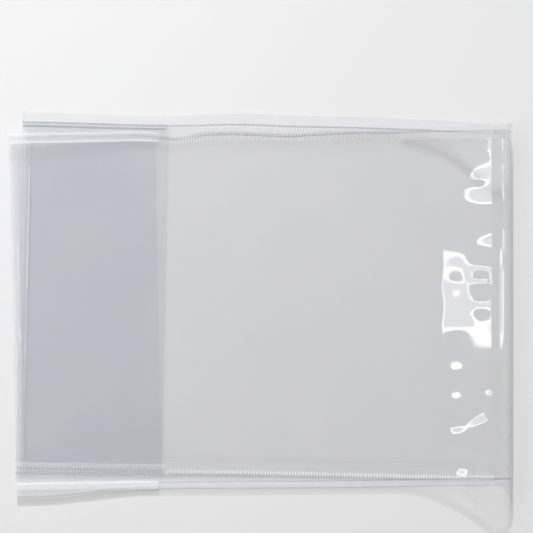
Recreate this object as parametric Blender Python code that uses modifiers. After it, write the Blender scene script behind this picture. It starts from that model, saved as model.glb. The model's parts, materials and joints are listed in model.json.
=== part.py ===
"""Clear film cover for a folding stamp book, folded shut.

One sheet of film makes both leaves and the round bend between them. Each leaf carries a pocket flap, welded to
it along three edges. Units are metres, +Z is up, the rear leaf lies on the ground and the bend runs along Y.
"""

import math

import bmesh
import bpy
from mathutils import Matrix, Vector

# Film and welds
FILM = 0.0003
GAP = 0.0003
HINGE_GAP = 0.0005
SEAM_WIDTH = 0.005
HEM_STEP = 0.0008

# Cover sheet: a leaf's width runs from the bend's centre to its fore edge
HEIGHT = 0.190
REAR_WIDTH = 0.2523
FRONT_WIDTH = 0.256
SKEW = math.radians(1.17)

# Round bend, and the shoulder that falls from the bend's centre to the rear leaf
BEND_DIAMETER = 0.017
BEND_STRIPS = 4
SHOULDER_WIDTH = 0.055

# Slopes of the first and last spine strip when the cover lies open on a table
OPEN_FIRST_SLOPE = math.radians(14)
OPEN_LAST_SLOPE = math.radians(2)

# Pockets, and the stretch over which the front leaf settles off them
FLAP_DEPTH = 0.0775
POCKET_SWELL = 0.0017
POCKET_SLOPE = 0.016
FLAP_SPACE = 0.0004
MOUTH_MARGIN = 0.010
SETTLE_WIDTH = 0.080

# Facets of the curved stretches, and the steps that settle the shoulder's slope
STRIP_FACETS = 5
SHOULDER_FACETS = 14
SETTLE_FACETS = 12
SLOPE_FACETS = 5
SLOPE_STEPS = 30

# Worked out from the sizes above
BEND_RADIUS = BEND_DIAMETER / 2
SEAM_THICKNESS = 2 * FILM + GAP
HALF_HEIGHT = HEIGHT / 2
FILM_HALF = HALF_HEIGHT - SEAM_WIDTH - GAP
SLANT = math.tan(SKEW)
FOOT_Z = 2 * SEAM_THICKNESS + GAP
FRONT_Z = 2 * (2 * FILM + POCKET_SWELL) + FLAP_SPACE


def shoulder_slope():
    """The slope at which the bend, past its top, lets the shoulder go.

    The shoulder is a parabola, level at its foot, and it meets the round bend without a corner.
    """
    slope = 0.0
    for _ in range(SLOPE_STEPS):
        fall = BEND_RADIUS * (1 + math.cos(slope)) - FOOT_Z
        slope = math.atan(2 * fall / (SHOULDER_WIDTH - BEND_RADIUS * math.sin(slope)))
    return slope


RELEASE = shoulder_slope()
RELEASE_RUN = BEND_RADIUS * math.sin(RELEASE)
RELEASE_Z = BEND_RADIUS * (1 + math.cos(RELEASE))
SHOULDER_RUN = SHOULDER_WIDTH - RELEASE_RUN
BEND_LENGTH = BEND_RADIUS * (math.pi + RELEASE)
LEVEL_RUN = min(REAR_WIDTH, FRONT_WIDTH) - FLAP_DEPTH - MOUTH_MARGIN - RELEASE_RUN
REAR_EDGE = -REAR_WIDTH
FRONT_EDGE = BEND_LENGTH + FRONT_WIDTH - RELEASE_RUN
SHOULDER_END = BEND_LENGTH + SHOULDER_RUN
SKEW_CENTRE = (REAR_EDGE + FRONT_EDGE) / 2
BEND_X = (max(REAR_WIDTH, FRONT_WIDTH) + SLANT * HALF_HEIGHT - BEND_RADIUS) / 2

# Colours with their share of opacity
CLEAR = (0.86, 0.87, 0.88, 0.22)
BLUISH = (0.76, 0.80, 0.90, 0.26)
WELDED = (0.90, 0.91, 0.93, 0.40)
GLOSS = 0.08


def ease(share):
    """A rise from 0 to 1 that starts and ends level."""
    share = min(max(share, 0.0), 1.0)
    return share * share * (3 - 2 * share)


def front_height(run):
    """Height of the front leaf's outer face, at a distance from where the bend lets it go."""
    left = max(1 - run / SHOULDER_RUN, 0.0)
    rise = ease((run - LEVEL_RUN + SETTLE_WIDTH) / SETTLE_WIDTH)
    return FOOT_Z + (RELEASE_Z - FOOT_Z) * left * left + (FRONT_Z - FOOT_Z) * rise


def fold_line(s):
    """The cover's outer face and its inward normal, in X and Z, at a length s along the sheet.

    s is 0 where the rear leaf meets the bend, and grows round the bend and along the front leaf.
    """
    if s <= 0:
        return Vector((BEND_X + s, 0)), Vector((0, 1))
    if s < BEND_LENGTH:
        angle = s / BEND_RADIUS
        outward = Vector((math.sin(angle), -math.cos(angle)))
        return Vector((BEND_X, BEND_RADIUS)) + BEND_RADIUS * outward, -outward
    run = s - BEND_LENGTH
    probe = FILM / 2
    slope = (front_height(run + probe) - front_height(run - probe)) / (2 * probe)
    return Vector((BEND_X - RELEASE_RUN - run, front_height(run))), Vector((-slope, -1)).normalized()


def sheet_point(s, v, depth=0.0):
    """A point of the sheet: s along it, v across it, depth inwards from its outer face."""
    place, inward = fold_line(s)
    x, z = place + depth * inward
    return Vector((x, v / math.cos(SKEW) - (s - SKEW_CENTRE) * SLANT, z))


def spread(first, last, facets):
    """Evenly spaced values from first to last."""
    return [first + (last - first) * i / facets for i in range(facets + 1)]


def square_cut(s):
    """A line square to the sheet's long edges, which crosses its middle at s."""
    return s, SLANT


def bend_line(s):
    """A line parallel to the bend, at s."""
    return s, 0.0


def finish(name, colour):
    """Glossy see-through film of one colour."""
    made = bpy.data.materials.new(f"{name}_film")
    made.use_nodes = True
    shader = made.node_tree.nodes["Principled BSDF"]
    shader.inputs["Base Color"].default_value = (*colour[:3], 1.0)
    shader.inputs["Roughness"].default_value = GLOSS
    shader.inputs["Metallic"].default_value = 0.0
    shader.inputs["Alpha"].default_value = colour[3]
    return made


def film(name, columns, rows, colour, thickness=FILM, depth=None, hem_rows=()):
    """A piece of film: a grid laid on the sheet and thickened inwards.

    columns are lines across the sheet, each with its slant, and rows are distances from the sheet's middle.
    depth gives how far inside the outer face a point starts. hem_rows are the rows as thick as a seam.
    """
    bm = bmesh.new()
    across, up = len(columns) - 1, len(rows) - 1
    bmesh.ops.create_grid(bm, x_segments=across, y_segments=up, size=1.0)
    hem = []
    for index, vert in enumerate(bm.verts):
        s, slant = columns[round((vert.co.x + 1) / 2 * across)]
        row = round((vert.co.y + 1) / 2 * up)
        v = rows[row]
        vert.co = sheet_point(s + slant * v, v, depth(s, v) if depth else 0.0)
        if row in hem_rows:
            hem.append(index)
    mesh = bpy.data.meshes.new(name)
    bm.to_mesh(mesh)
    bm.free()
    mesh.shade_smooth()
    mesh.materials.append(finish(name, colour))
    made = bpy.data.objects.new(name, mesh)
    parts.objects.link(made)
    shell = made.modifiers.new("thickness", "SOLIDIFY")
    shell.thickness = thickness
    shell.offset = 1.0
    shell.use_even_offset = True
    if hem:
        group = made.vertex_groups.new(name="hem")
        group.add(hem, 1.0, "REPLACE")
        shell.thickness = SEAM_THICKNESS
        shell.vertex_group = group.name
        shell.thickness_vertex_group = thickness / SEAM_THICKNESS
    return made


def hemmed_film(name, columns):
    """Film of the spine, which keeps the thick welded hem at its top and bottom ends."""
    edge, inner = HALF_HEIGHT, HALF_HEIGHT - SEAM_WIDTH
    rows = [-edge, -inner, -inner + HEM_STEP, inner - HEM_STEP, inner, edge]
    return film(name, columns, rows, CLEAR, hem_rows=(0, 1, 4, 5))


def flap(name, fore, mouth):
    """A pocket flap, held at the seams and swollen off its leaf between them, open at its mouth."""
    towards_mouth = math.copysign(1, mouth - fore)

    def depth(s, v):
        from_side = ease((FILM_HALF - abs(v)) / POCKET_SLOPE)
        from_fore = ease((s - fore) * towards_mouth / POCKET_SLOPE)
        return FILM + GAP + (POCKET_SWELL - GAP) * from_side * from_fore

    side = spread(FILM_HALF - POCKET_SLOPE, FILM_HALF, SLOPE_FACETS)
    rows = [-v for v in reversed(side)] + side
    run = spread(fore, fore + towards_mouth * POCKET_SLOPE, SLOPE_FACETS) + [mouth]
    return film(name, [square_cut(s) for s in sorted(run)], rows, BLUISH, depth=depth)


def cover(name, fore, bend_columns):
    """One cover: a leaf, its pocket flap and the welded margins round them.

    fore is the fore edge, and bend_columns are the leaf's lines from its bend towards that edge.
    """
    inwards = math.copysign(1, bend_columns[0][0] - fore)
    seam_side = fore + inwards * SEAM_WIDTH
    film_side = seam_side + inwards * GAP
    across = [-FILM_HALF, FILM_HALF]

    def lines(*cuts):
        return sorted([*bend_columns, *(square_cut(s) for s in cuts)])

    return [
        film(f"{name}_leaf", lines(film_side), across, CLEAR),
        flap(f"{name}_flap", film_side, fore + inwards * FLAP_DEPTH),
        film(
            f"{name}_top_seam",
            lines(fore),
            [HALF_HEIGHT - SEAM_WIDTH, HALF_HEIGHT],
            WELDED,
            SEAM_THICKNESS,
        ),
        film(
            f"{name}_bottom_seam",
            lines(fore),
            [-HALF_HEIGHT, SEAM_WIDTH - HALF_HEIGHT],
            WELDED,
            SEAM_THICKNESS,
        ),
        film(
            f"{name}_fore_seam",
            sorted([square_cut(fore), square_cut(seam_side)]),
            across,
            WELDED,
            SEAM_THICKNESS,
        ),
    ]


def film_middle(s):
    """The middle of the film's thickness at s, in X and Z, where a fold line runs."""
    place, inward = fold_line(s)
    return place + FILM / 2 * inward


def opening_line():
    """The line, in X and Z, that the front cover turns half round about to lie open beside the rear cover.

    It is midway between the shoulder's foot folded shut and the same foot with the spine laid out flat.
    """
    lines = [film_middle(s) for s in spread(0, BEND_LENGTH, BEND_STRIPS)]
    slopes = spread(OPEN_FIRST_SLOPE, OPEN_LAST_SLOPE, BEND_STRIPS - 1)
    laid = lines[0].copy()
    for slope, start, end in zip(slopes, lines, lines[1:]):
        laid += (end - start).length * Vector((math.cos(slope), math.sin(slope)))
    foot = film_middle(SHOULDER_END)
    rise = FRONT_Z - foot.y - laid.y
    laid += Vector((math.sqrt((foot - lines[-1]).length ** 2 - rise**2), rise))
    return (foot + laid) / 2


def hinge(name, place, parent):
    """An empty on a fold line, at a place in X and Z."""
    made = bpy.data.objects.new(name, None)
    parts.objects.link(made)
    made.parent = parent
    made.matrix_world = Matrix.Translation((place.x, 0, place.y))
    bpy.context.view_layer.update()
    return made


def hang(pieces, carrier):
    """Puts each piece's origin on its carrier and parents it there."""
    for piece in pieces:
        piece.data.transform(carrier.matrix_world.inverted())
        piece.parent = carrier


def trimmed(first, last, facets):
    """Lines parallel to the bend, with half a hinge gap left free at each end."""
    return [bend_line(s) for s in spread(first + HINGE_GAP / 2, last - HINGE_GAP / 2, facets)]


def build():
    """The rear cover, the front cover that opens from it, and the spine that hangs from the front cover."""
    ground = bpy.data.objects.new("rear_cover", None)
    parts.objects.link(ground)
    hang(cover("rear", REAR_EDGE, [bend_line(-HINGE_GAP / 2)]), ground)

    carrier = hinge("cover_opening", opening_line(), ground)
    level = BEND_LENGTH + LEVEL_RUN
    settling = spread(level - SETTLE_WIDTH, level, SETTLE_FACETS)
    front_lines = [bend_line(s) for s in [SHOULDER_END + HINGE_GAP / 2, *settling]]
    hang(cover("front", FRONT_EDGE, front_lines), carrier)

    carrier = hinge("front_fold", film_middle(SHOULDER_END), carrier)
    shoulder = hemmed_film("spine_shoulder", trimmed(BEND_LENGTH, SHOULDER_END, SHOULDER_FACETS))
    hang([shoulder], carrier)

    for i in range(BEND_STRIPS, 0, -1):
        first, last = (BEND_LENGTH * step / BEND_STRIPS for step in (i - 1, i))
        carrier = hinge(f"spine_fold_{i}", film_middle(last), carrier)
        strip = hemmed_film(f"spine_strip_{i}", trimmed(first, last, STRIP_FACETS))
        hang([strip], carrier)


for old in list(bpy.data.objects):
    bpy.data.objects.remove(old, do_unlink=True)
parts = bpy.data.collections.new("goshuin_sleeve")
bpy.context.scene.collection.children.link(parts)
build()
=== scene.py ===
"""Looks of a clear film cover for a folding stamp book, lying folded shut on a pale table.

The cover is one sheet of film: rear leaf, round bend, shoulder and front leaf, with a pocket flap welded
inside each leaf. Lengths are metres. A place on the sheet is given by s, along it from where the rear leaf
meets the bend, by v, across it from its middle, and by depth, inwards from its outer face.
"""

import json
import logging
import math
from dataclasses import dataclass, field
from enum import Enum

import bpy
import numpy as np
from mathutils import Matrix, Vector


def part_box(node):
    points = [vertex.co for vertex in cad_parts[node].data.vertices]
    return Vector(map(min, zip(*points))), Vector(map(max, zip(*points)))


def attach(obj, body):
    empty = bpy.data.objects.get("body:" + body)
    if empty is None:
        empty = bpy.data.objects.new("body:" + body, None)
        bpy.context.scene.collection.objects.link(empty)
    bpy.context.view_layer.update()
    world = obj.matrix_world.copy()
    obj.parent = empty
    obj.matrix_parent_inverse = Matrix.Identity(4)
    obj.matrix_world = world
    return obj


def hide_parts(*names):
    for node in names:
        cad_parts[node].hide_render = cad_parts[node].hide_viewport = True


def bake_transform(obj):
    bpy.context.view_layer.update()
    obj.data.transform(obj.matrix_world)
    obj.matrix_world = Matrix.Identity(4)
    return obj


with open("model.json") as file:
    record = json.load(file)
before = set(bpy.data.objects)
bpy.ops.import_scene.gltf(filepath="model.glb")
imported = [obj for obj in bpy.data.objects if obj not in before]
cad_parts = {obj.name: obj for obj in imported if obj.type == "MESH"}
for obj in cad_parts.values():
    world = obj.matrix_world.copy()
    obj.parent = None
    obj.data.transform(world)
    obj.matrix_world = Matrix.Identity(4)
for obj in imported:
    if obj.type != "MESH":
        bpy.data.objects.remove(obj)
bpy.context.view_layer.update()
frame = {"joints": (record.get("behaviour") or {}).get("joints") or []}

LOG = logging.getLogger("cover")
MM = 0.001
SHARP_ANGLE = math.radians(50)
Array = np.ndarray


class Edge(Enum):
    """A long edge of the sheet, by the sign of v there."""

    TOP = 1
    BOTTOM = -1


class Leaf(Enum):
    """The two leaves, by the name that their nodes start with."""

    REAR = "rear"
    FRONT = "front"


def ease(share: Array) -> Array:
    """A rise from 0 to 1 that starts and ends level."""
    share = np.clip(share, 0.0, 1.0)
    return share * share * (3 - 2 * share)


def hump(distance: Array, width: float) -> Array:
    """A smooth bump, 1 at distance 0 and about nothing past three times its width."""
    return np.exp(-0.5 * (distance / width) ** 2)


@dataclass(frozen=True)
class FilmFinish:
    """Clear soft vinyl: what it lets through, and the gloss that grows as it is seen edge on. Some weld
    finishes use its tint and haze to paint shade and highlights.
    """

    name: str
    tint: tuple[float, float, float]
    clouded_tint: tuple[float, float, float]
    reflection: float = 0.028
    edge_power: float = 5.0
    facing_blend: float = 0.5
    haze: float = 0.015
    haze_colour: tuple[float, float, float] = (0.93, 0.93, 0.98)
    haze_roughness: float = 0.35
    glow: float = 0.5
    roughness: float = 0.035
    cloud_scale: float = 28.0
    cloud_detail: float = 3.0
    grain_scale: float = 900.0
    grain: float = 0.02
    grain_depth: float = 0.001 * MM

    def material(self) -> bpy.types.Material:
        """The film as a mix of clear, hazy and glossy shaders.

        Returns:
            A material of the finish's name, made once and then shared.
        """
        made = bpy.data.materials.get(self.name)
        if made:
            return made
        made = bpy.data.materials.new(self.name)
        made.use_nodes = True
        tree = made.node_tree
        tree.nodes.clear()
        place = tree.nodes.new("ShaderNodeTexCoord").outputs["Object"]
        body = tree.nodes.new("ShaderNodeMixShader")
        body.inputs["Fac"].default_value = self.haze
        tree.links.new(self.clear(tree, place), body.inputs[1])
        tree.links.new(self.milk(tree), body.inputs[2])
        whole = tree.nodes.new("ShaderNodeMixShader")
        tree.links.new(self.gloss_share(tree), whole.inputs["Fac"])
        tree.links.new(body.outputs["Shader"], whole.inputs[1])
        tree.links.new(self.gloss(tree, place), whole.inputs[2])
        out = tree.nodes.new("ShaderNodeOutputMaterial")
        tree.links.new(whole.outputs["Shader"], out.inputs["Surface"])
        return made

    def clear(self, tree: bpy.types.NodeTree, place: bpy.types.NodeSocket) -> bpy.types.NodeSocket:
        """The light that goes straight through, tinted a little more in soft clouds.

        Args:
            tree: the material's nodes.
            place: where on the film a point is.
        Returns:
            The clear shader's output.
        """
        cloud = tree.nodes.new("ShaderNodeTexNoise")
        cloud.inputs["Scale"].default_value = self.cloud_scale
        cloud.inputs["Detail"].default_value = self.cloud_detail
        tree.links.new(place, cloud.inputs["Vector"])
        tint = tree.nodes.new("ShaderNodeMix")
        tint.data_type = "RGBA"
        tint.inputs["A"].default_value = (*self.tint, 1.0)
        tint.inputs["B"].default_value = (*self.clouded_tint, 1.0)
        tree.links.new(cloud.outputs["Fac"], tint.inputs["Factor"])
        shader = tree.nodes.new("ShaderNodeBsdfTransparent")
        tree.links.new(tint.outputs["Result"], shader.inputs["Color"])
        return shader.outputs["BSDF"]

    def milk(self, tree: bpy.types.NodeTree) -> bpy.types.NodeSocket:
        """The haze, lit from in front and, by its glow, from behind.

        Args:
            tree: the material's nodes.
        Returns:
            The hazy shader's output.
        """
        lit = tree.nodes.new("ShaderNodeBsdfPrincipled")
        lit.inputs["Base Color"].default_value = (*self.haze_colour, 1.0)
        lit.inputs["Roughness"].default_value = self.haze_roughness
        through = tree.nodes.new("ShaderNodeBsdfTranslucent")
        through.inputs["Color"].default_value = (*self.haze_colour, 1.0)
        haze = tree.nodes.new("ShaderNodeMixShader")
        haze.inputs["Fac"].default_value = self.glow
        tree.links.new(lit.outputs["BSDF"], haze.inputs[1])
        tree.links.new(through.outputs["BSDF"], haze.inputs[2])
        return haze.outputs["Shader"]

    def gloss(self, tree: bpy.types.NodeTree, place: bpy.types.NodeSocket) -> bpy.types.NodeSocket:
        """The mirror of the film's face, with a very fine grain.

        Args:
            tree: the material's nodes.
            place: where on the film a point is.
        Returns:
            The glossy shader's output.
        """
        grain = tree.nodes.new("ShaderNodeTexNoise")
        grain.inputs["Scale"].default_value = self.grain_scale
        tree.links.new(place, grain.inputs["Vector"])
        bump = tree.nodes.new("ShaderNodeBump")
        bump.inputs["Strength"].default_value = self.grain
        bump.inputs["Distance"].default_value = self.grain_depth
        tree.links.new(grain.outputs["Fac"], bump.inputs["Height"])
        mirror = tree.nodes.new("ShaderNodeBsdfGlossy")
        mirror.inputs["Roughness"].default_value = self.roughness
        tree.links.new(bump.outputs["Normal"], mirror.inputs["Normal"])
        return mirror.outputs["BSDF"]

    def gloss_share(self, tree: bpy.types.NodeTree) -> bpy.types.NodeSocket:
        """How much the film mirrors, from its plain reflection to all of the light when seen edge on.

        Args:
            tree: the material's nodes.
        Returns:
            The share's output.
        """
        facing = tree.nodes.new("ShaderNodeLayerWeight")
        facing.inputs["Blend"].default_value = self.facing_blend
        steep = tree.nodes.new("ShaderNodeMath")
        steep.operation = "POWER"
        steep.inputs[1].default_value = self.edge_power
        tree.links.new(facing.outputs["Facing"], steep.inputs[0])
        share = tree.nodes.new("ShaderNodeMath")
        share.operation = "MULTIPLY_ADD"
        share.inputs[1].default_value = 1 - self.reflection
        share.inputs[2].default_value = self.reflection
        tree.links.new(steep.outputs["Value"], share.inputs[0])
        return share.outputs["Value"]


CLEAR_FILM = FilmFinish("clear_vinyl", (0.988, 0.988, 0.988), (0.980, 0.981, 0.982), haze=0.012)
BLUISH_FILM = FilmFinish("bluish_vinyl", (0.990, 0.993, 1.0), (0.981, 0.986, 0.997), haze=0.006)
WELDED_FILM = FilmFinish(
    "welded_vinyl", (0.999, 0.999, 1.0), (0.995, 0.995, 0.998), reflection=0.02, haze=0.05, cloud_scale=160.0
)
# Painted shade: the bead's relief is real, but this darker tint stands in for the dark line that refraction
# in the bead and its cast shadow give.
BEAD_PAINTED_SHADE_FILM = FilmFinish(
    "bead_painted_shade_vinyl", (0.90, 0.90, 0.905), (0.85, 0.85, 0.857), haze=0.02, roughness=0.08, cloud_scale=400.0
)
# Partly the ribbed weld's real scatter and partly painted sheen: a light haze that lightens the ribs and lip
# bands as if they caught the light.
RIBBED_PAINTED_SHEEN_FILM = FilmFinish(
    "ribbed_painted_sheen_vinyl", (0.997, 0.997, 1.0), (0.99, 0.99, 0.995), haze=0.15, glow=0.4, roughness=0.15
)
# Partly the welds' real haze and partly painted sheen: a strong pale haze that lightens the hems where their
# curved faces mirror the light.
MILKY_PAINTED_SHEEN_FILM = FilmFinish(
    "milky_painted_sheen_vinyl",
    (0.997, 0.997, 1.0),
    (0.985, 0.985, 0.99),
    haze=0.45,
    haze_colour=(0.97, 0.975, 1.0),
    glow=0.25,
    roughness=0.1,
)
CLOUDED_FILM = FilmFinish(
    "clouded_vinyl", (0.997, 0.997, 1.0), (0.99, 0.99, 0.995), haze=0.30, haze_colour=(0.80, 0.80, 0.83)
)
# Painted highlight: white haze on the weld ribs' ticks, standing in for the glints of the ribs in the low
# light.
TICK_PAINTED_GLINT_FILM = FilmFinish(
    "tick_painted_glint_vinyl",
    (0.99, 0.99, 0.99),
    (0.97, 0.97, 0.97),
    haze=0.95,
    haze_colour=(0.98, 0.98, 0.98),
    glow=0.05,
    roughness=0.2,
)
# Painted highlight: a near-white haze for the thin bright lines where the welds' beads and the rear fore
# bead catch the light.
PAINTED_GLINT_FILM = FilmFinish(
    "painted_glint_vinyl",
    (0.99, 0.99, 0.99),
    (0.97, 0.97, 0.97),
    haze=0.75,
    haze_colour=(0.98, 0.98, 0.98),
    glow=0.12,
    roughness=0.2,
)


@dataclass(frozen=True)
class Dimple:
    """A shallow hollow, or a swelling where its depth is negative, at a place in the row frame's X and Y."""

    x: float
    y: float
    reach_x: float
    reach_y: float
    depth: float


@dataclass(frozen=True)
class Sway:
    """A stretch where a long edge wanders across the sheet.

    It has a middle in X, a width, and how far the edge moves there.
    """

    x: float
    width: float
    shift: float


@dataclass
class CoverSheet:
    """The folded sheet that every film of the cover lies on or against."""

    film: float = 0.3 * MM
    weld: float = 0.9 * MM
    lip_share: float = 0.25
    weld_width: float = 9.2 * MM
    fore_width: float = 4.6 * MM
    height: float = 190 * MM
    skew: float = math.radians(1.17)
    flap_depth: float = 77.5 * MM
    mouth_margin: float = 10 * MM
    settle_width: float = 80 * MM
    front_start: float = 8 * MM
    foot_reach: float = 14 * MM
    dimples: tuple[Dimple, ...] = ()
    sways: dict[tuple[Leaf, Edge], tuple[Sway, ...]] = field(default_factory=dict)
    sway_reach: float = 16 * MM
    sag_reach: float = 48 * MM
    sag_start: float = 10 * MM
    sag_length: float = 65 * MM
    sag_share: float = 0.93

    def __post_init__(self) -> None:
        """Takes the bend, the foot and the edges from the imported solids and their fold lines."""
        folds = {joint["name"]: Vector(joint["pos_m"]) for joint in frame["joints"]}
        self.slant = math.tan(self.skew)
        self.half = self.height / 2
        self.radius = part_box("spine_strip_4")[1].z / 2
        self.bend_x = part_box("spine_strip_2")[1].x - self.radius
        top = folds["spine_fold_4"]
        self.release = math.atan2(self.bend_x - top.x, top.z - self.radius)
        self.release_x = self.bend_x - self.radius * math.sin(self.release)
        self.release_z = self.radius * (1 + math.cos(self.release))
        self.bend_length = self.radius * (math.pi + self.release)
        foot = folds["front_fold"]
        self.foot_z = foot.z + self.film / 2
        self.shoulder_run = self.release_x - foot.x
        self.front_z = 2 * folds["cover_opening"].z
        reach = self.slant * self.half
        self.rear_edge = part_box("rear_fore_seam")[0].x - self.bend_x + reach
        self.front_edge = self.bend_length + self.release_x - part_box("front_fore_seam")[0].x - reach
        self.centre = (self.rear_edge + self.front_edge) / 2
        level = min(-self.rear_edge, self.front_edge - self.bend_length) - self.flap_depth
        self.level_run = level - self.mouth_margin

    def front_height(self, run: Array) -> Array:
        """Height of the front leaf's outer face.

        Args:
            run: distances from where the bend lets the film go.
        Returns:
            Z at each distance.
        """
        left = np.maximum(1 - run / self.shoulder_run, 0.0)
        rise = ease((run - self.level_run + self.settle_width) / self.settle_width)
        return self.foot_z + (self.release_z - self.foot_z) * left**2 + (self.front_z - self.foot_z) * rise

    def line(self, s: Array) -> tuple[Array, Array, Array, Array]:
        """The sheet's outer face seen along the bend.

        Args:
            s: lengths along the sheet.
        Returns:
            X and Z of the face, and X and Z of its inward normal.
        """
        angle = np.clip(s / self.radius, 0.0, math.pi + self.release)
        run = np.maximum(s - self.bend_length, 0.0)
        probe = self.film / 2
        slope = (self.front_height(run + probe) - self.front_height(run - probe)) / (2 * probe)
        tilt = 1 / np.hypot(slope, 1.0)
        front = s >= self.bend_length
        rolled_x = self.bend_x + np.minimum(s, 0) + self.radius * np.sin(angle)
        x = np.where(front, self.release_x - run, rolled_x)
        z = np.where(front, self.front_height(run), self.radius * (1 - np.cos(angle)))
        inward_x = np.where(front, -slope * tilt, -np.sin(angle))
        inward_z = np.where(front, -tilt, np.cos(angle))
        return x, z, inward_x, inward_z

    def hollow(self, x: Array, y: Array, s: Array) -> Array:
        """How far the shoulder's dimples push the film inwards.

        Args:
            x: places in X.
            y: places in Y.
            s: lengths along the sheet at those places.
        Returns:
            The depth at each place.
        """
        deep = np.zeros(np.broadcast(x, y).shape)
        for dimple in self.dimples:
            deep += dimple.depth * hump(x - dimple.x, dimple.reach_x) * hump(y - dimple.y, dimple.reach_y)
        return deep * ease((s - self.bend_length / 2) / self.radius)

    def wander(self, x: Array, v: Array, s: Array) -> Array:
        """How far the long edges have moved across the sheet.

        Args:
            x: places in X.
            v: distances across the sheet at those places.
            s: lengths along it.
        Returns:
            The shift in Y at each place.
        """
        moved = np.zeros(np.broadcast(x, v).shape)
        for (leaf, edge), sways in self.sways.items():
            climb = ease(s / self.bend_length)
            on_leaf = climb if leaf is Leaf.FRONT else 1 - climb
            near = ease(1 - (self.half - edge.value * v) / self.sway_reach)
            for sway in sways:
                moved += on_leaf * near * sway.shift * hump(x - sway.x, sway.width)
        return moved

    def sag(self, s: Array, v: Array) -> Array:
        """How far the front leaf's long edges hang, from near its fore edge to the pocket's mouth.

        Args:
            s: lengths along the sheet.
            v: distances across it.
        Returns:
            The depth under the leaf's middle at each place.
        """
        rise = ease((s - self.bend_length - self.level_run + self.settle_width) / self.settle_width)
        near = ease(1 - (self.half - np.abs(v)) / self.sag_reach)
        inside = ease((self.front_edge - s - self.sag_start) / self.sag_length)
        return self.sag_share * (self.front_z - self.foot_z) * rise * near * inside

    def points(self, s: Array, v: Array, depth: Array) -> Array:
        """Places on the sheet.

        Args:
            s: lengths along the sheet.
            v: distances across it, of the same shape.
            depth: distances inwards from the outer face, of the same shape.
        Returns:
            An array of the same shape with X, Y and Z last.
        """
        x, z, inward_x, inward_z = self.line(s)
        y = v / math.cos(self.skew) - (s - self.centre) * self.slant
        depth = depth + self.hollow(x, y, s) + self.sag(s, v)
        y = y + self.wander(x, v, s)
        return np.stack([x + depth * inward_x, y, z + depth * inward_z], axis=-1)


def solid_mesh(
    name: str, outer: Array, inner: Array, finishes: tuple[FilmFinish, ...], kinds: Array | None = None
) -> bpy.types.Object:
    """A closed film between two grids of points.

    Args:
        name: the piece's name.
        outer: rows by columns of points on one face.
        inner: the same on the other face.
        finishes: what the film is made of.
        kinds: which of the finishes each cell of the grid has, or the first one everywhere.
    Returns:
        The new object, shaded smooth apart from its rims.
    """
    rows, columns = outer.shape[:2]
    index = np.arange(rows * columns).reshape(rows, columns)
    back = index + rows * columns

    def quads(grid: Array) -> Array:
        """The cells of a grid of point numbers."""
        return np.stack([grid[:-1, :-1], grid[:-1, 1:], grid[1:, 1:], grid[1:, :-1]], -1).reshape(-1, 4)

    ring = np.concatenate([index[0, :-1], index[:-1, -1], index[-1, :0:-1], index[:0:-1, 0]])
    after = np.roll(ring, -1)
    rim = np.stack([ring, ring + rows * columns, after + rows * columns, after], -1)
    faces = np.concatenate([quads(index), quads(back)[:, ::-1], rim])
    spots = np.concatenate([outer.reshape(-1, 3), inner.reshape(-1, 3)])
    volume = np.einsum("ij,ij->", spots[faces[:, 0]], np.cross(spots[faces[:, 1]], spots[faces[:, 2]]))
    volume += np.einsum("ij,ij->", spots[faces[:, 0]], np.cross(spots[faces[:, 2]], spots[faces[:, 3]]))
    if volume < 0:
        faces = faces[:, ::-1]
    mesh = bpy.data.meshes.new(name)
    mesh.from_pydata(spots.tolist(), [], faces.tolist())
    if kinds is not None:
        cells = np.concatenate([kinds.ravel(), kinds.ravel(), np.zeros(len(rim), int)])
        mesh.polygons.foreach_set("material_index", cells.astype(np.int32))
    mesh.shade_smooth()
    mesh.set_sharp_from_angle(angle=SHARP_ANGLE)
    for finish in finishes:
        mesh.materials.append(finish.material())
    made = bpy.data.objects.new(name, mesh)
    bpy.context.scene.collection.objects.link(made)
    return made


@dataclass
class Stretch:
    """A length of the sheet between two places, which rides on one body or bends between two."""

    name: str
    start: float
    end: float
    bodies: tuple[str, ...]
    turn: tuple[float, float] | None = None
    square_end: bool = False

    def lengths(self, sheet: CoverSheet, share: Array, v: Array, inset: float = 0.0) -> Array:
        """Lengths along the sheet at shares of this stretch, ending square to the long edges at a fore edge.

        Args:
            sheet: the sheet that the stretch is part of.
            share: from 0 at the start to 1 at the end.
            v: distances across the sheet.
            inset: how far short of the end to stop.
        Returns:
            The lengths, for each share and each distance.
        """
        end = self.end - math.copysign(inset, self.end - self.start)
        slant = sheet.slant * v * share if self.square_end else 0.0
        return self.start + (end - self.start) * share + slant

    def carry(self, sheet: CoverSheet, piece: bpy.types.Object) -> None:
        """Attaches a piece to this stretch's body; a piece of a stretch that turns between two bodies only
        has its place baked into its points.

        Args:
            sheet: not used.
            piece: the film or weld to carry.
        """
        if self.turn is None:
            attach(piece, self.bodies[0])
            return
        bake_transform(piece)


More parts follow.
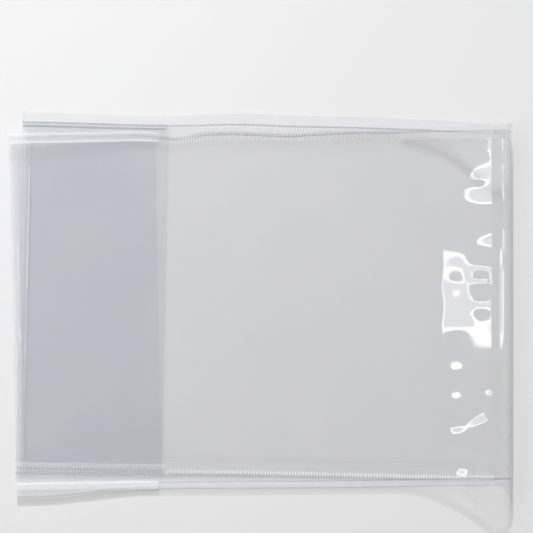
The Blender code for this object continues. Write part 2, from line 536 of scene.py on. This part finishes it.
@dataclass
class LeafFilm:
    """The plain film of a stretch, between its two welded edges."""

    sheet: CoverSheet
    stretch: Stretch
    step: float = 1.2 * MM
    row_step: float = 1.2 * MM
    tuck: float = 0.12 * MM
    hold_reach: float = 14 * MM
    least_columns: int = 8

    def build(self) -> bpy.types.Object:
        """The film, its long edges tucked into the welds.

        Returns:
            The film's object.
        """
        sheet, stretch = self.sheet, self.stretch
        reach = sheet.half - sheet.weld_width + self.tuck
        v = np.linspace(-reach, reach, round(2 * reach / self.row_step) + 1)
        count = max(round(abs(stretch.end - stretch.start) / self.step), self.least_columns)
        share = np.linspace(0, 1, count + 1)
        inset = sheet.fore_width - self.tuck if stretch.square_end else 0.0
        share, v = np.meshgrid(share, v)
        s = stretch.lengths(sheet, share, v, inset)
        lift = (sheet.weld - sheet.film) / 2
        outer = sheet.points(s, v, lift * self.held(v))
        inner = sheet.points(s, v, lift * self.held(v) + sheet.film)
        return solid_mesh(f"{stretch.name}_film", outer, inner, (CLEAR_FILM,))

    def held(self, v: Array) -> Array:
        """How far the film is drawn to the middle of a weld's thickness, 1 at the welds and 0 inside."""
        inside = self.sheet.half - self.sheet.weld_width - np.abs(v)
        return ease(1 - inside / self.hold_reach)


class WeldKind(Enum):
    """The finishes of a weld, by their place in its list of materials. DARK is painted shade, WHITE and TICK
    are painted highlights, and MILKY and RIB are partly real haze and partly painted sheen.
    """

    LIP = 0
    DARK = 1
    CLEAR = 2
    RIB = 3
    MILKY = 4
    WHITE = 5
    TICK = 6
    CLOUDED = 7


WELD_FINISHES = (
    WELDED_FILM,
    BEAD_PAINTED_SHADE_FILM,
    CLEAR_FILM,
    RIBBED_PAINTED_SHEEN_FILM,
    MILKY_PAINTED_SHEEN_FILM,
    PAINTED_GLINT_FILM,
    TICK_PAINTED_GLINT_FILM,
    CLOUDED_FILM,
)


@dataclass(frozen=True)
class WeldLine:
    """A line pressed along a long edge, whole or broken into ribs.

    It lies at a distance inwards from the edge's bead and reaches as far to both sides.
    """

    away: float
    reach: float
    kind: WeldKind
    height: float = 0.06 * MM
    ribs: bool = False


@dataclass(frozen=True)
class WeldPattern:
    """How far in an edge's bead lies, and the lines beside it.

    They differ along the pocket, along the rest of the leaf and along the raised shoulder.
    """

    bead: float
    pocket: tuple[WeldLine, ...]
    plain: tuple[WeldLine, ...]
    raised: tuple[WeldLine, ...] = ()


@dataclass
class EdgeWeld:
    """A welded long edge: a flat lip, the lines that the welding bar left, and its ribs. The lines' relief
    is real; their dark and white finishes are painted shade and highlights.
    """

    sheet: CoverSheet
    stretch: Stretch
    edge: Edge
    leaf: Leaf
    pitch: float = 1.45 * MM
    steps_per_rib: int = 6
    plain_start: float = 26 * MM
    raised_reach: float = 46 * MM
    soft_side: float = 0.4 * MM
    lip_width: float = 1 * MM
    least_columns: int = 6
    rows: int = 36

    def build(self) -> bpy.types.Object:
        """The weld, pressed on the face that is up while the cover lies shut.

        Returns:
            The weld's object.
        """
        sheet, stretch = self.sheet, self.stretch
        ribs = abs(stretch.end - stretch.start) / self.pitch
        count = max(round(ribs * self.steps_per_rib), self.least_columns)
        share = np.linspace(0, 1, count + 1)
        inset = np.linspace(0, sheet.weld_width, self.rows + 1)
        share, inset = np.meshgrid(share, inset)
        v = self.edge.value * (sheet.half - inset)
        s = stretch.lengths(sheet, share, v)
        rise = self.rise(s, inset)
        rear = self.leaf is Leaf.REAR
        lip = sheet.lip_share * sheet.weld * (1 - ease(inset / self.lip_width))
        outer = sheet.points(s, v, lip - (0.0 if rear else rise * ease(s / sheet.bend_length)))
        inner = sheet.points(s, v, sheet.weld - lip + (rise if rear else 0.0))
        name = f"{stretch.name}_{self.edge.name.lower()}_weld"
        return solid_mesh(name, outer, inner, WELD_FINISHES, self.kinds(s, inset))

    def from_bead(self, s: Array, inset: Array) -> Array:
        """Distance inwards from the bead, which moves across the sheet round the bend.

        Args:
            s: lengths along the sheet.
            inset: distances from the edge.
        Returns:
            The distance at each place.
        """
        climb = ease(s / self.sheet.bend_length)
        rear = WELD_PATTERNS[Leaf.REAR, self.edge].bead
        front = WELD_PATTERNS[Leaf.FRONT, self.edge].bead
        return inset - rear - (front - rear) * climb

    def ribbed(self, s: Array) -> Array:
        """1 where the edge has ribs, and 0 round the bend, where they are stretched flat."""
        flat = self.sheet.bend_length + self.plain_start
        return np.maximum(ease(1 - s / self.sheet.radius), ease((s - flat) / self.sheet.radius))

    def lines(self, s: Array) -> list[tuple[WeldLine, Array]]:
        """The edge's lines, and where along the sheet each of them runs.

        Args:
            s: lengths along the sheet.
        Returns:
            Each line with a mark at the lengths where it runs.
        """
        pattern = WELD_PATTERNS[self.leaf, self.edge]
        pocket = self.stretch.square_end & (np.abs(self.stretch.end - s) < self.sheet.flap_depth)
        past_bend = s - self.sheet.bend_length
        raised = (past_bend > -self.sheet.radius) & (past_bend < self.raised_reach)
        zones = ((pattern.pocket, pocket), (pattern.plain, ~pocket), (pattern.raised, raised))
        return [(line, runs) for lines, runs in zones for line in lines]

    def rise(self, s: Array, inset: Array) -> Array:
        """Height of the lines and ribs over the weld's flat face.

        Args:
            s: lengths along the sheet.
            inset: distances from the edge.
        Returns:
            The height at each place.
        """
        away = self.from_bead(s, inset)
        wave = self.ribbed(s) * (1 + np.cos(2 * math.pi * s / self.pitch)) / 2
        height = np.zeros(s.shape)
        for line, runs in self.lines(s):
            side = ease((line.reach - np.abs(away - line.away)) / self.soft_side + 0.5)
            height += line.height * side * runs * (wave if line.ribs else 1.0)
        return height

    def kinds(self, s: Array, inset: Array) -> Array:
        """Which finish each cell has.

        Args:
            s: lengths along the sheet at the grid's points.
            inset: distances from the edge at the grid's points.
        Returns:
            A number from WeldKind for each cell.
        """
        s, inset = (s[:-1, :-1] + s[1:, 1:]) / 2, (inset[:-1, :-1] + inset[1:, 1:]) / 2
        away = self.from_bead(s, inset)
        rib = (np.cos(2 * math.pi * s / self.pitch) > 0) & (self.ribbed(s) > 0.5)
        kind = np.where(away < 0, WeldKind.LIP.value, WeldKind.CLEAR.value)
        for line, runs in self.lines(s):
            here = runs & (np.abs(away - line.away) < line.reach)
            kind = np.where(here & rib if line.ribs else here, line.kind.value, kind)
        return kind


@dataclass
class ForeWeld:
    """The plain welded margin at a leaf's fore edge, with a painted highlight along its bead where gleam
    lies.
    """

    sheet: CoverSheet
    stretch: Stretch
    gleam: tuple[float, float] = (0.0, 0.0)
    step: float = 2 * MM
    bead_height: float = 0.25 * MM
    bead_place: float = 0.92
    bead_reach: float = 0.06
    lip_reach: float = 0.12
    rows: int = 18

    def build(self) -> bpy.types.Object:
        """The margin, between the two long welds.

        Returns:
            The margin's object.
        """
        sheet, stretch = self.sheet, self.stretch
        reach = sheet.half - sheet.weld_width
        v = np.linspace(-reach, reach, round(2 * reach / self.step) + 1)
        across = np.linspace(0, 1, self.rows + 1)
        across, v = np.meshgrid(across, v)
        inwards = math.copysign(1, stretch.start - stretch.end)
        s = stretch.end + sheet.slant * v + inwards * across * sheet.fore_width
        lip = sheet.lip_share * sheet.weld * (1 - ease(across / self.lip_reach))
        rise = self.bead_height * hump(across - self.bead_place, self.bead_reach)
        rear = stretch.end < stretch.start
        outer = sheet.points(s, v, lip - (0.0 if rear else rise))
        inner = sheet.points(s, v, sheet.weld - lip + (rise if rear else 0.0))
        middle_v, middle = (v[:-1, :-1] + v[1:, 1:]) / 2, (across[:-1, :-1] + across[1:, 1:]) / 2
        # Painted highlight: bead cells within gleam take the near-white finish, for the bright line along
        # the fold of the rear fore edge.
        bright = (middle_v > self.gleam[0]) & (middle_v < self.gleam[1])
        bright &= np.abs(middle - self.bead_place) < self.bead_reach
        kinds = np.where(bright, WeldKind.WHITE.value, WeldKind.LIP.value)
        return solid_mesh(f"{stretch.name}_fore_weld", outer, inner, WELD_FINISHES, kinds)


@dataclass
class PocketFlap:
    """The bluish film inside a leaf, welded along three edges and open at its mouth."""

    sheet: CoverSheet
    stretch: Stretch
    step: float = 2 * MM
    tuck: float = 2.6 * MM
    lap: float = 3.4 * MM
    films_in: float = 1.4
    swell: float = 1.1 * MM
    slope: float = 20 * MM

    def build(self) -> bpy.types.Object:
        """The flap, swollen off its leaf between the welds.

        Returns:
            The flap's object.
        """
        sheet, stretch = self.sheet, self.stretch
        free = sheet.half - sheet.weld_width
        reach = free + self.lap
        inwards = math.copysign(1, stretch.start - stretch.end)
        run = np.arange(sheet.fore_width - self.tuck, sheet.flap_depth, self.step)
        run = np.append(run, sheet.flap_depth)
        v = np.linspace(-reach, reach, round(2 * reach / self.step) + 1)
        run, v = np.meshgrid(run, v)
        s = stretch.end + sheet.slant * v + inwards * run
        off_side = ease((free - np.abs(v)) / self.slope)
        off_fore = ease((run - sheet.fore_width) / self.slope)
        depth = self.films_in * sheet.film + self.swell * off_side * off_fore
        outer = sheet.points(s, v, depth)
        inner = sheet.points(s, v, depth + sheet.film)
        return solid_mesh(f"{stretch.name}_flap_film", outer, inner, (BLUISH_FILM,))


@dataclass
class Cover:
    """One cover: a leaf's film, its welded edges and its pocket flap."""

    sheet: CoverSheet
    leaf: Leaf
    stretch: Stretch
    gleam: tuple[float, float] = (0.0, 0.0)
    joined: list[bpy.types.Object] = field(default_factory=list)

    def build(self) -> list[bpy.types.Object]:
        """All the cover's films; the flap moves with the cover, and the others move with it where its
        stretch rides on one body.

        Returns:
            The films' objects.
        """
        film = LeafFilm(self.sheet, self.stretch).build()
        welds = [EdgeWeld(self.sheet, self.stretch, edge, self.leaf).build() for edge in Edge]
        fore = ForeWeld(self.sheet, self.stretch, self.gleam).build()
        pocket = PocketFlap(self.sheet, self.stretch)
        flap = pocket.build()
        for piece in (film, *welds, fore):
            self.stretch.carry(self.sheet, piece)
        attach(flap, f"{self.leaf.value}_cover")
        self.dress(welds)
        return [film, *welds, fore, flap]

    def dress(
        self,
        welds: list[bpy.types.Object],
    ) -> None:
        """Hides the imported solids that the cover's films stand in for.

        Args:
            welds: its two long welds, in the order of Edge.
        """
        name = self.leaf.value
        front = self.leaf is Leaf.FRONT
        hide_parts(f"{name}_leaf", *(["spine_shoulder"] if front else []))
        for weld, edge in zip(welds, Edge):
            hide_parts(f"{name}_{edge.name.lower()}_seam")
        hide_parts(f"{name}_fore_seam")
        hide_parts(f"{name}_flap")


@dataclass
class SpineBend:
    """The round bend, in one stretch for each of its strips."""

    sheet: CoverSheet
    strips: int = 4
    film_step: float = 0.3 * MM
    fold_room: float = 0.06 * MM

    def stretches(self, last: float) -> list[Stretch]:
        """The bend's stretches, each from the middle of one strip to the middle of the next.

        Args:
            last: where the front cover's own stretch begins.
        Returns:
            The stretches from the rear leaf upwards.
        """
        strip = self.sheet.bend_length / self.strips
        middles = [(i + 0.5) * strip for i in range(self.strips + 1)]
        ends = [self.fold_room, *middles[1:-1], last]
        bodies = [*(f"spine_strip_{i + 1}" for i in range(self.strips)), "spine_shoulder"]
        made = []
        for i in range(self.strips):
            turn = (middles[i], min(middles[i + 1], last))
            made.append(Stretch(f"bend_{i + 1}", ends[i], ends[i + 1], (bodies[i], bodies[i + 1]), turn))
        return made

    def build(self, last: float) -> list[bpy.types.Object]:
        """The bend's films and welded ends.

        Args:
            last: where the front cover's own stretch begins.
        Returns:
            The objects of all the stretches.
        """
        made = []
        for i, stretch in enumerate(self.stretches(last), start=1):
            film = LeafFilm(self.sheet, stretch, step=self.film_step).build()
            welds = [EdgeWeld(self.sheet, stretch, edge, Leaf.FRONT).build() for edge in Edge]
            for piece in (film, *welds):
                stretch.carry(self.sheet, piece)
            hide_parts(f"spine_strip_{i}")
            made += [film, *welds]
        return made


@dataclass(frozen=True)
class TableFinish:
    """Smooth white table top."""

    colour: tuple[float, float, float] = (0.80, 0.80, 0.805)
    worn_colour: tuple[float, float, float] = (0.79, 0.79, 0.795)
    roughness: float = 0.6
    specular: float = 0.2
    noise_scale: float = 9.0

    def material(self) -> bpy.types.Material:
        """The table's white, faintly uneven.

        Returns:
            The table's material.
        """
        made = bpy.data.materials.new("table_white")
        made.use_nodes = True
        nodes, links = made.node_tree.nodes, made.node_tree.links
        shader = nodes["Principled BSDF"]
        shader.inputs["Roughness"].default_value = self.roughness
        shader.inputs["Specular IOR Level"].default_value = self.specular
        place = nodes.new("ShaderNodeTexCoord")
        noise = nodes.new("ShaderNodeTexNoise")
        noise.inputs["Scale"].default_value = self.noise_scale
        links.new(place.outputs["Object"], noise.inputs["Vector"])
        tone = nodes.new("ShaderNodeMix")
        tone.data_type = "RGBA"
        tone.inputs["A"].default_value = (*self.colour, 1.0)
        tone.inputs["B"].default_value = (*self.worn_colour, 1.0)
        links.new(noise.outputs["Fac"], tone.inputs["Factor"])
        links.new(tone.outputs["Result"], shader.inputs["Base Color"])
        return made


@dataclass
class Lamp:
    """A rectangular lamp that faces a point, with a rim of its own brightness if it has one."""

    name: str
    place: tuple[float, float, float]
    target: tuple[float, float, float]
    size: tuple[float, float]
    radiance: float
    rim: float = 0.0
    rim_radiance: float = 0.0

    def build(self) -> None:
        """The lamp's middle, then the four sides of its rim."""
        wide, tall = self.size
        inside = (wide - 2 * self.rim, tall - 2 * self.rim)
        self.panel("middle", (0.0, 0.0), inside, self.radiance)
        if not self.rim:
            return
        for side in (-1, 1):
            across = side * (wide - self.rim) / 2
            along = side * (tall - self.rim) / 2
            self.panel(f"side{side}", (across, 0.0), (self.rim, tall), self.rim_radiance)
            self.panel(f"end{side}", (0.0, along), (inside[0], self.rim), self.rim_radiance)

    def panel(
        self, part: str, shift: tuple[float, float], size: tuple[float, float], radiance: float
    ) -> None:
        """One even panel of the lamp, unseen by the camera itself.

        Args:
            part: what to call it.
            shift: its middle, across and along the lamp.
            size: its width and length.
            radiance: how bright it is.
        """
        data = bpy.data.lights.new(f"{self.name}_{part}", "AREA")
        data.shape = "RECTANGLE"
        data.size, data.size_y = size
        data.energy = radiance * math.pi * size[0] * size[1]
        made = bpy.data.objects.new(data.name, data)
        turn = (Vector(self.place) - Vector(self.target)).to_track_quat("Z", "Y")
        made.location = Vector(self.place) + turn @ Vector((*shift, 0.0))
        made.rotation_euler = turn.to_euler()
        made.visible_camera = False
        bpy.context.scene.collection.objects.link(made)


STUDIO_LAMPS = (
    Lamp(
        name="soft_corner",
        place=(-0.24, 0.44, 0.55),
        target=(0.0, 0.0, 0.0),
        size=(0.5, 0.5),
        radiance=2.8,
    ),
    Lamp(
        name="left_panel",
        place=(-0.376, -0.0034, 0.513),
        target=(0.11, -0.0034, 0.01),
        size=(0.066, 0.30),
        radiance=3.6,
        rim=0.009,
        rim_radiance=12.0,
    ),
    Lamp(
        name="right_panel",
        place=(0.69, 0.004, 0.42),
        target=(0.13, 0.004, 0.01),
        size=(0.07, 0.17),
        radiance=6.0,
    ),
)


@dataclass
class Studio:
    """The table, the light and the camera."""

    frame_width: float = 0.28287
    look_at: tuple[float, float] = (0.0036, 0.0183)
    camera_height: float = 2.4
    sensor: float = 36.0
    table_size: float = 6.0
    table_drop: float = 0.1 * MM
    sun_strength: float = 2.1
    sun_elevation: float = math.radians(30)
    sun_azimuth: float = math.radians(95)
    sun_angle: float = math.radians(2.5)
    sky: float = 0.44
    horizon: float = 0.08
    backdrop: float = 0.95
    film_layers: int = 64

    def build(self) -> None:
        """Everything in the studio."""
        self.table()
        self.sun()
        self.world()
        self.lamps()
        self.camera()
        scene = bpy.context.scene
        scene.view_settings.view_transform = "Standard"
        scene.cycles.transparent_max_bounces = self.film_layers

    def table(self) -> None:
        """A wide table top just under the rear leaf."""
        bpy.ops.mesh.primitive_plane_add(size=self.table_size, location=(0, 0, -self.table_drop))
        top = bpy.context.object
        top.name = "table_top"
        top.data.materials.append(TableFinish().material())

    def sun(self) -> None:
        """The low light from beyond the cover's top edge."""
        data = bpy.data.lights.new("low_window", "SUN")
        data.energy = self.sun_strength
        data.angle = self.sun_angle
        made = bpy.data.objects.new("low_window", data)
        flat = math.cos(self.sun_elevation)
        away = Vector((
            flat * math.cos(self.sun_azimuth),
            flat * math.sin(self.sun_azimuth),
            math.sin(self.sun_elevation),
        ))
        made.rotation_euler = away.to_track_quat("Z", "Y").to_euler()
        bpy.context.scene.collection.objects.link(made)

    def world(self) -> None:
        """A pale room, with a white backdrop all round for the camera and for what the film mirrors."""
        world = bpy.data.worlds.new("pale_room")
        world.use_nodes = True
        bpy.context.scene.world = world
        nodes, links = world.node_tree.nodes, world.node_tree.links
        place = nodes.new("ShaderNodeTexCoord")
        height = nodes.new("ShaderNodeSeparateXYZ")
        links.new(place.outputs["Generated"], height.inputs["Vector"])
        level = nodes.new("ShaderNodeMix")
        for side, foot in (("A", self.horizon), ("B", self.backdrop)):
            wall = nodes.new("ShaderNodeMapRange")
            wall.interpolation_type = "SMOOTHSTEP"
            wall.inputs["To Min"].default_value = foot
            wall.inputs["To Max"].default_value = self.sky
            links.new(height.outputs["Z"], wall.inputs["Value"])
            links.new(wall.outputs["Result"], level.inputs[side])
        path = nodes.new("ShaderNodeLightPath")
        seen = path.outputs["Is Camera Ray"]
        for ray in ("Is Glossy Ray", "Is Transmission Ray"):
            either = nodes.new("ShaderNodeMath")
            either.operation = "MAXIMUM"
            links.new(seen, either.inputs[0])
            links.new(path.outputs[ray], either.inputs[1])
            seen = either.outputs["Value"]
        links.new(seen, level.inputs["Factor"])
        links.new(level.outputs["Result"], nodes["Background"].inputs["Strength"])
        nodes["Background"].inputs["Color"].default_value = (1.0, 1.0, 1.0, 1.0)

    def lamps(self) -> None:
        """A soft light from the top left, and the two panels that the bend mirrors."""
        for lamp in STUDIO_LAMPS:
            lamp.build()

    def camera(self) -> None:
        """The camera, straight above."""
        data = bpy.data.cameras.new("above")
        data.sensor_width = self.sensor
        data.lens = self.sensor * self.camera_height / self.frame_width
        made = bpy.data.objects.new("above", data)
        made.location = (*self.look_at, self.camera_height)
        bpy.context.scene.collection.objects.link(made)
        bpy.context.scene.camera = made


SHOULDER_DIMPLES = (
    Dimple(122 * MM, 92 * MM, 10 * MM, 13 * MM, -1.35 * MM),
    Dimple(125 * MM, 88 * MM, 5 * MM, 6 * MM, -0.38 * MM),
    Dimple(115.5 * MM, 64.5 * MM, 3 * MM, 2.4 * MM, 0.12 * MM),
    Dimple(118 * MM, 49 * MM, 9 * MM, 8 * MM, 0.64 * MM),
    Dimple(123 * MM, 27.5 * MM, 8 * MM, 6.5 * MM, 0.48 * MM),
    Dimple(117 * MM, 19 * MM, 4.5 * MM, 3.6 * MM, -0.16 * MM),
    Dimple(117 * MM, 10 * MM, 4.5 * MM, 3.8 * MM, 0.40 * MM),
    Dimple(117 * MM, -2 * MM, 4.5 * MM, 4.2 * MM, -0.24 * MM),
    Dimple(106.5 * MM, 26 * MM, 4 * MM, 4.4 * MM, -0.10 * MM),
    Dimple(104.5 * MM, 8.5 * MM, 4 * MM, 4 * MM, -0.18 * MM),
    Dimple(104 * MM, -13 * MM, 6 * MM, 4.6 * MM, -0.10 * MM),
    Dimple(104 * MM, -31 * MM, 3.2 * MM, 3.6 * MM, 0.10 * MM),
    Dimple(104 * MM, -46.5 * MM, 3.4 * MM, 3.4 * MM, 0.20 * MM),
    Dimple(120.5 * MM, -45.6 * MM, 3 * MM, 3 * MM, 0.24 * MM),
    Dimple(104.2 * MM, -64.8 * MM, 4.4 * MM, 3.4 * MM, 0.34 * MM),
    Dimple(112 * MM, -60.8 * MM, 3.6 * MM, 3.2 * MM, 0.27 * MM),
    Dimple(117.5 * MM, -57 * MM, 3.4 * MM, 3.6 * MM, 0.36 * MM),
    Dimple(107 * MM, -85.2 * MM, 5 * MM, 4 * MM, 0.60 * MM),
)


EDGE_SWAYS = {
    (Leaf.FRONT, Edge.TOP): (
        Sway(-44 * MM, 8 * MM, -2.6 * MM),
        Sway(16 * MM, 15 * MM, -1.9 * MM),
        Sway(70 * MM, 28 * MM, -1.3 * MM),
        Sway(122 * MM, 12 * MM, -1.3 * MM),
    ),
    (Leaf.FRONT, Edge.BOTTOM): (Sway(70 * MM, 85 * MM, -2.3 * MM),),
    (Leaf.REAR, Edge.TOP): (
        Sway(-110 * MM, 12 * MM, 0.3 * MM),
        Sway(-60 * MM, 18 * MM, -0.4 * MM),
        Sway(-12 * MM, 16 * MM, 1.6 * MM),
        Sway(40 * MM, 30 * MM, 1.2 * MM),
        Sway(122 * MM, 14 * MM, -1.3 * MM),
    ),
    (Leaf.REAR, Edge.BOTTOM): (
        Sway(-130 * MM, 120 * MM, -3.2 * MM),
        Sway(90 * MM, 50 * MM, -1.6 * MM),
    ),
}


# The weld lines' finishes: DARK lines are painted shade, WHITE and TICK lines painted highlights, MILKY and
# RIB bands partly painted sheen.
WELD_PATTERNS = {
    (Leaf.REAR, Edge.TOP): WeldPattern(
        bead=5.7 * MM,
        pocket=(
            WeldLine(0.0, 0.55 * MM, WeldKind.DARK, 0.20 * MM),
            WeldLine(1.8 * MM, 0.55 * MM, WeldKind.DARK, 0.20 * MM),
        ),
        plain=(
            WeldLine(0.0, 0.42 * MM, WeldKind.DARK, 0.20 * MM),
            WeldLine(1.4 * MM, 0.7 * MM, WeldKind.RIB, ribs=True),
        ),
    ),
    (Leaf.FRONT, Edge.TOP): WeldPattern(
        bead=3.5 * MM,
        pocket=(
            WeldLine(0.0, 2.1 * MM, WeldKind.RIB),
            WeldLine(-2.1 * MM, 0.22 * MM, WeldKind.WHITE),
            WeldLine(-0.3 * MM, 0.40 * MM, WeldKind.DARK, ribs=True),
            WeldLine(2.1 * MM, 0.55 * MM, WeldKind.MILKY),
        ),
        plain=(
            WeldLine(-0.8 * MM, 0.55 * MM, WeldKind.DARK, ribs=True),
            WeldLine(1.7 * MM, 1.3 * MM, WeldKind.RIB, ribs=True),
            WeldLine(0.0, 0.42 * MM, WeldKind.DARK, 0.20 * MM),
        ),
        raised=(WeldLine(2.4 * MM, 1.9 * MM, WeldKind.CLOUDED),),
    ),
    (Leaf.REAR, Edge.BOTTOM): WeldPattern(
        bead=2.8 * MM,
        pocket=(
            WeldLine(-1.5 * MM, 0.8 * MM, WeldKind.RIB, ribs=True),
            WeldLine(0.0, 0.55 * MM, WeldKind.DARK),
            WeldLine(0.0, 0.6 * MM, WeldKind.TICK, ribs=True),
            WeldLine(2.2 * MM, 1.1 * MM, WeldKind.MILKY),
        ),
        plain=(
            WeldLine(0.0, 1.0 * MM, WeldKind.RIB),
            WeldLine(0.0, 0.85 * MM, WeldKind.TICK, ribs=True),
        ),
    ),
    (Leaf.FRONT, Edge.BOTTOM): WeldPattern(
        bead=4.7 * MM,
        pocket=(
            WeldLine(-2.7 * MM, 2.1 * MM, WeldKind.MILKY),
            WeldLine(-1.0 * MM, 0.40 * MM, WeldKind.WHITE),
        ),
        plain=(
            WeldLine(-3.0 * MM, 1.7 * MM, WeldKind.RIB),
            WeldLine(-4.5 * MM, 0.25 * MM, WeldKind.DARK),
            WeldLine(-1.1 * MM, 0.36 * MM, WeldKind.DARK, 0.20 * MM),
        ),
    ),
}
# Where along the rear fore edge's bead the painted highlight runs.
REAR_FORE_GLEAM = (0.0, 66 * MM)


def main() -> None:
    """Builds the cover piece by piece, then the studio round it."""
    logging.basicConfig(level=logging.INFO, format="%(name)s: %(message)s")
    sheet = CoverSheet(dimples=SHOULDER_DIMPLES, sways=EDGE_SWAYS)
    shoulder_start = sheet.bend_length + sheet.front_start
    foot = sheet.bend_length + sheet.shoulder_run
    rear = Stretch("rear", 0.0, sheet.rear_edge, ("rear_cover",), square_end=True)
    front = Stretch(
        "front",
        shoulder_start,
        sheet.front_edge,
        ("spine_shoulder", "front_cover"),
        (foot - sheet.foot_reach, foot + sheet.foot_reach),
        square_end=True,
    )
    pieces = Cover(sheet, Leaf.REAR, rear, gleam=REAR_FORE_GLEAM).build()
    bend = SpineBend(sheet).build(shoulder_start)
    pieces += bend + Cover(sheet, Leaf.FRONT, front, joined=bend).build()
    for piece in pieces:
        LOG.info("%s: %d faces", piece.name, len(piece.data.polygons))
    Studio().build()


if __name__ == "__main__":
    main()
